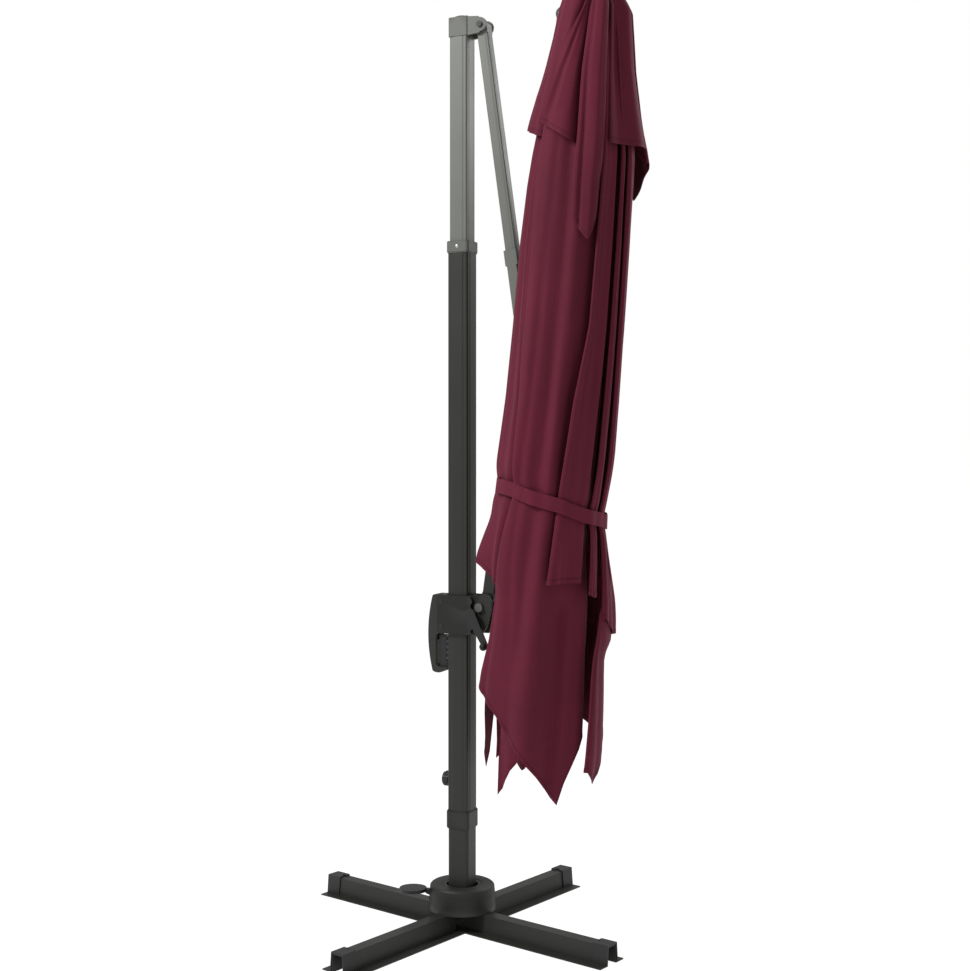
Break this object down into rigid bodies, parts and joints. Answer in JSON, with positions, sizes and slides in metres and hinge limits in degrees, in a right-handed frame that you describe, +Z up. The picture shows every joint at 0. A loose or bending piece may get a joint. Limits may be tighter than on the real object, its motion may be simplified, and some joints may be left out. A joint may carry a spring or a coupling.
{
  "type": "patio umbrella with base",
  "caption": "Cantilever garden parasol with a folded, tied square canopy hanging from a boom and tie bar on a square mast over a cross base.",
  "frame": {"origin": "on the ground under the mast's centre line, at the middle of the cross base", "axes": "+Z up along the mast, +X from the mast towards the canopy, in the plane of the boom and the tie"},
  "size_m": [1.0165, 0.998, 2.5918],
  "materials": {
    "powder_dark": "satin powder coat",
    "mast_dark": "satin powder coat",
    "mast_light": "satin powder coat",
    "moulded_grey": "matt",
    "moulded_dark": "matt",
    "black_plastic": "matt",
    "black_steel": "satin",
    "bright_steel": "zinc plated",
    "nylon": "matt",
    "canvas": "woven"
  },
  "bodies": {
    "base": {"beam_whole": "powder_dark", "beam_lapped": "powder_dark", "end_cap_1": "black_plastic", "end_cap_2": "black_plastic", "end_cap_3": "black_plastic", "end_cap_4": "black_plastic", "base_plate": "black_steel", "base_bolts": "bright_steel", "spigot": "bright_steel", "thrust_washer": "nylon", "spigot_nut": "bright_steel", "hub_cover": "moulded_dark", "pedal_pin": "bright_steel"},
    "pedal": {"pedal": "black_plastic", "pedal_spring": "bright_steel"},
    "mast": {"turn_flange": "bright_steel", "stub_pipe": "mast_dark", "joint_core": "bright_steel", "lower_collar": "mast_dark", "lower_tube": "mast_dark", "upper_tube": "mast_light", "upper_collar": "moulded_grey", "collar_screw": "bright_steel", "head_cap": "moulded_grey", "head_bolt": "black_plastic"},
    "lock_knob": {"lock_knob": "black_plastic", "knob_stud": "bright_steel"},
    "tie": {"tie_head": "mast_light", "tie_tube": "mast_light", "tie_fork": "mast_light", "knee_bolt": "black_plastic"},
    "boom": {"boom_foot": "powder_dark", "boom_lower_tube": "mast_dark", "boom_knee": "powder_dark", "boom_upper_tube": "mast_dark", "boom_head": "powder_dark"},
    "slider": {"slider_front": "moulded_dark", "slider_back": "moulded_dark", "glide_liner": "black_plastic", "slider_screws": "black_plastic", "foot_bolt": "moulded_grey"},
    "trigger": {"grip_trigger": "black_plastic", "latch_pin": "bright_steel", "latch_spring": "bright_steel"},
    "crank": {"crank_arm": "black_plastic", "crank_spool": "moulded_grey"},
    "crank_knob": {"crank_knob": "black_plastic"},
    "canopy": {"crown_hub": "black_plastic", "hub_hanger": "black_steel", "hanger_bolt": "bright_steel", "centre_pole": "mast_dark", "runner": "black_plastic", "long_ribs": "mast_dark", "short_ribs": "mast_dark", "struts": "mast_dark", "rib_tips": "black_plastic", "canopy_cover": "canvas", "vent_cap": "canvas", "tie_strap": "canvas", "finial": "black_plastic"}
  },
  "joints": [
    {"name": "mast_turn", "type": "hinge", "parent": "base", "child": "mast", "pos_m": [0, 0, 0.09], "axis": [0, 0, 1], "continuous": true},
    {"name": "pedal_press", "type": "hinge", "parent": "base", "child": "pedal", "pos_m": [-0.06636, -0.04099, 0.092], "axis": [0.5255, -0.8508, 0], "range_deg": [0, 12], "stiffness_Nm_per_rad": 2, "springref_deg": -11.46},
    {"name": "knob_turn", "type": "hinge", "parent": "mast", "child": "lock_knob", "pos_m": [-0.045, 0, 0.406], "axis": [-1, 0, 0], "continuous": true},
    {"name": "fold_out", "type": "hinge", "parent": "mast", "child": "tie", "pos_m": [0.066, 0, 2.506], "axis": [0, -1, 0], "range_deg": [0, 57]},
    {"name": "knee", "type": "hinge", "parent": "tie", "child": "boom", "pos_m": [0.18, 0, 1.7], "axis": [0, 1, 0], "range_deg": [0, 114]},
    {"name": "boom_foot_pivot", "type": "hinge", "parent": "boom", "child": "slider", "pos_m": [0.066, 0, 0.894], "axis": [0, -1, 0], "range_deg": [0, 57]},
    {"name": "canopy_hang", "type": "hinge", "parent": "boom", "child": "canopy", "pos_m": [0.31012, 0, 2.50576], "axis": [0, -1, 0], "range_deg": [0, 61.7]},
    {"name": "trigger_squeeze", "type": "slide", "parent": "slider", "child": "trigger", "axis": [-1, 0, 0], "range_m": [0, 0.007], "stiffness_N_per_m": 600, "springref_m": -0.01},
    {"name": "crank_spin", "type": "hinge", "parent": "slider", "child": "crank", "pos_m": [0.047, -0.045, 0.878], "axis": [0, -1, 0], "continuous": true},
    {"name": "crank_knob_spin", "type": "hinge", "parent": "crank", "child": "crank_knob", "pos_m": [0.09424, -0.06, 0.791], "axis": [0, -1, 0], "continuous": true}
  ],
  "couplings": [
    {"joint": "knee", "follows": "fold_out", "ratio": 2},
    {"joint": "boom_foot_pivot", "follows": "fold_out", "ratio": 1},
    {"joint": "canopy_hang", "follows": "fold_out", "ratio": 1.0825}
  ]
}
